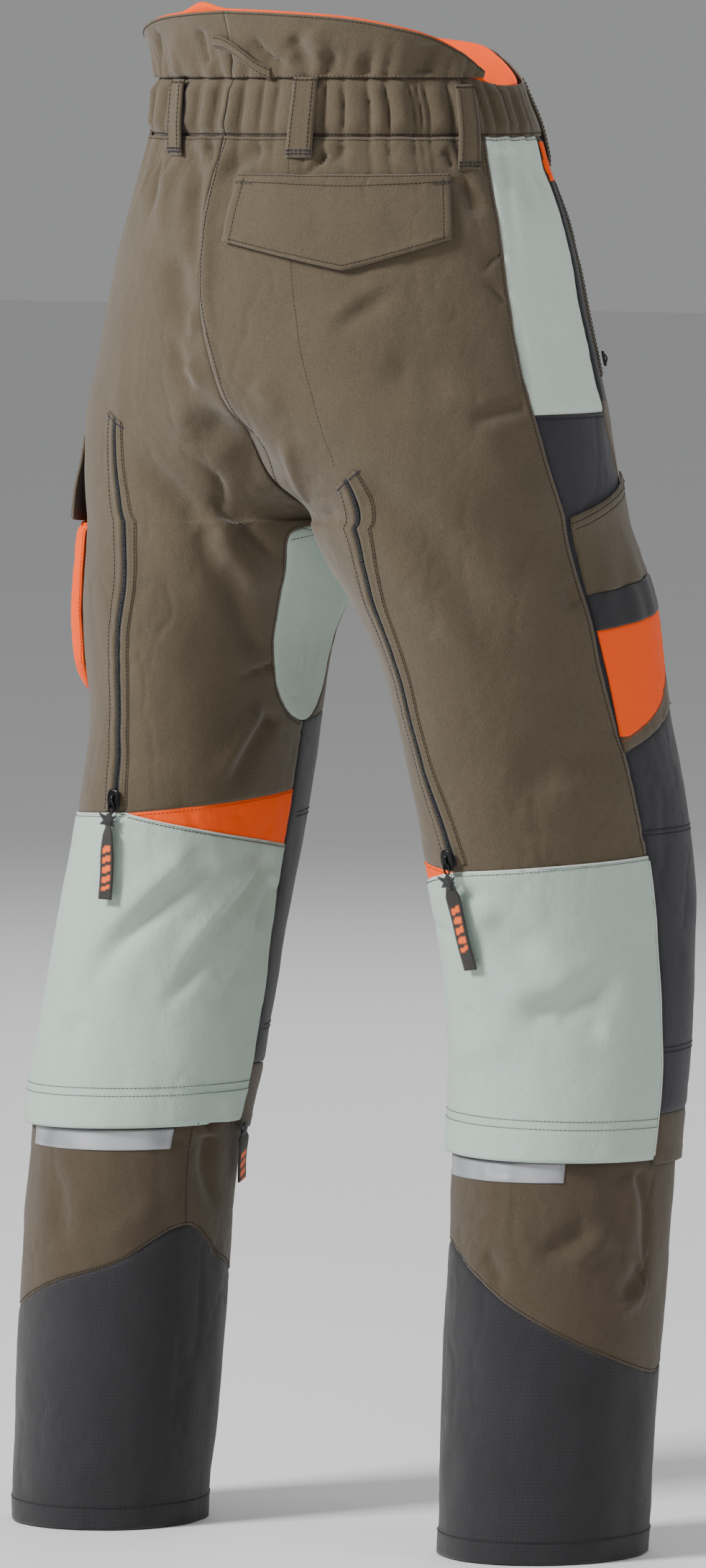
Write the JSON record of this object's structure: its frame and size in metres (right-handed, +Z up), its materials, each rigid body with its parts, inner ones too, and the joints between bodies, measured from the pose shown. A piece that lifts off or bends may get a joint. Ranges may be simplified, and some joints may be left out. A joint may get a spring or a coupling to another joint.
{
  "type": "protective trousers",
  "caption": "Forestry protective trousers with a raised back, elastic waist, zipped thigh vents, cargo pockets and cut-protection inserts in both leg fronts.",
  "frame": {"origin": "middle of the footprint, on the surface the hems stand on", "axes": "+Z up, the front faces -Y, the wearer's left leg is on +X"},
  "size_m": [0.5204, 0.3126, 1.1369],
  "materials": {
    "taupe_cloth": "matte tightly woven polyester-cotton work cloth, brown-grey",
    "sage_stretch": "matte stretch weave, pale grey-green",
    "charcoal_ripstop": "charcoal abrasion-resistant weave with a fine grid",
    "orange_cloth": "bright orange plain weave",
    "black_webbing": "black narrow woven tape",
    "silver_reflective": "silver retroreflective tape, satin",
    "black_metal": "black lacquered die-cast metal, satin",
    "bare_metal": "brushed metal",
    "black_plastic": "black moulded plastic, matte",
    "pad_fleece": "undyed layered protective fibre"
  },
  "bodies": {
    "garment": {"back_panel_left": "taupe_cloth", "back_panel_right": "taupe_cloth", "back_pocket_bag": "pad_fleece", "belt_loop_back_left": "taupe_cloth", "belt_loop_back_right": "taupe_cloth", "belt_loop_front_left": "taupe_cloth", "belt_loop_front_right": "taupe_cloth", "belt_loop_side_left": "taupe_cloth", "belt_loop_side_right": "taupe_cloth", "calf_panel_left": "sage_stretch", "calf_panel_right": "sage_stretch", "cargo_elastic_right": "black_webbing", "cargo_panel_left": "charcoal_ripstop", "cargo_panel_right": "charcoal_ripstop", "cargo_patch_right": "orange_cloth", "cargo_pocket_left": "orange_cloth", "cuff_left": "charcoal_ripstop", "cuff_right": "charcoal_ripstop", "cut_protection_insert_left": "pad_fleece", "cut_protection_insert_right": "pad_fleece", "fly_placket": "taupe_cloth", "fly_zip": "black_webbing", "front_panel_left": "taupe_cloth", "front_panel_right": "taupe_cloth", "front_pocket_zip_left": "black_webbing", "front_pocket_zip_right": "black_webbing", "hanger_loop": "taupe_cloth", "hip_side_panel_left": "sage_stretch", "hip_side_panel_right": "sage_stretch", "inner_thigh_gusset_left": "sage_stretch", "inner_thigh_gusset_right": "sage_stretch", "kidney_yoke_left": "taupe_cloth", "kidney_yoke_right": "taupe_cloth", "knee_wedge_left": "orange_cloth", "knee_wedge_right": "orange_cloth", "leg_shell_left": "charcoal_ripstop", "leg_shell_right": "charcoal_ripstop", "lower_leg_left": "taupe_cloth", "lower_leg_right": "taupe_cloth", "phone_pocket_right": "taupe_cloth", "reflective_strip_left": "silver_reflective", "reflective_strip_right": "silver_reflective", "vent_zip_left": "black_webbing", "vent_zip_right": "black_webbing", "waist_button": "black_plastic", "waist_lining": "orange_cloth", "waistband_back_left": "taupe_cloth", "waistband_back_right": "taupe_cloth", "waistband_front_left": "taupe_cloth", "waistband_front_right": "taupe_cloth"},
    "back_pocket_flap": {"back_pocket_flap": "taupe_cloth"},
    "cargo_flap_left": {"cargo_flap_left": "taupe_cloth"},
    "fly_slider": {"fly_slider": "bare_metal"},
    "front_pocket_slider_left": {"front_pocket_slider_left": "black_metal"},
    "front_pocket_slider_right": {"front_pocket_slider_right": "black_metal"},
    "leg_zip_pull_left": {"leg_zip_pull_left": "black_webbing"},
    "vent_pull_left": {"vent_pull_left": "black_webbing"},
    "vent_pull_right": {"vent_pull_right": "black_webbing"},
    "vent_slider_left": {"vent_slider_left": "black_metal"},
    "vent_slider_right": {"vent_slider_right": "black_metal"}
  },
  "joints": [
    {"name": "vent_slide_left", "type": "slide", "parent": "garment", "child": "vent_slider_left", "axis": [-0.0738, 0.1029, 0.992], "range_m": [0, 0.271]},
    {"name": "vent_pull_turn_left", "type": "hinge", "parent": "vent_slider_left", "child": "vent_pull_left", "pos_m": [0.14064, 0.11522, 0.54063], "axis": [0.9839, 0.0119, -0.1785], "range_deg": [0, 150]},
    {"name": "vent_slide_right", "type": "slide", "parent": "garment", "child": "vent_slider_right", "axis": [0.1591, 0.2206, 0.9623], "range_m": [0, 0.281]},
    {"name": "vent_pull_turn_right", "type": "hinge", "parent": "vent_slider_right", "child": "vent_pull_right", "pos_m": [-0.14264, 0.07361, 0.50526], "axis": [0.9453, 0.0028, 0.3263], "range_deg": [0, 150]},
    {"name": "front_pocket_slide_left", "type": "slide", "parent": "garment", "child": "front_pocket_slider_left", "axis": [-0.282, -0.0241, 0.9591], "range_m": [0, 0.122]},
    {"name": "front_pocket_slide_right", "type": "slide", "parent": "garment", "child": "front_pocket_slider_right", "axis": [0.2436, 0.032, 0.9693], "range_m": [0, 0.121]},
    {"name": "fly_slide", "type": "slide", "parent": "garment", "child": "fly_slider", "axis": [0, -0.1906, -0.9817], "range_m": [0, 0.116]},
    {"name": "back_flap_turn", "type": "hinge", "parent": "garment", "child": "back_pocket_flap", "pos_m": [-0.08808, 0.12229, 1.018], "axis": [0.9176, 0.3974, 0], "range_deg": [0, 120]},
    {"name": "cargo_flap_turn", "type": "hinge", "parent": "garment", "child": "cargo_flap_left", "pos_m": [0.21922, 0.00161, 0.821], "axis": [-0.006, -1, 0], "range_deg": [0, 110]},
    {"name": "leg_pull_turn", "type": "hinge", "parent": "garment", "child": "leg_zip_pull_left", "pos_m": [0.08656, 0.02683, 0.2992], "axis": [-0.1747, 0.9538, 0.2443], "range_deg": [0, 120]}
  ]
}
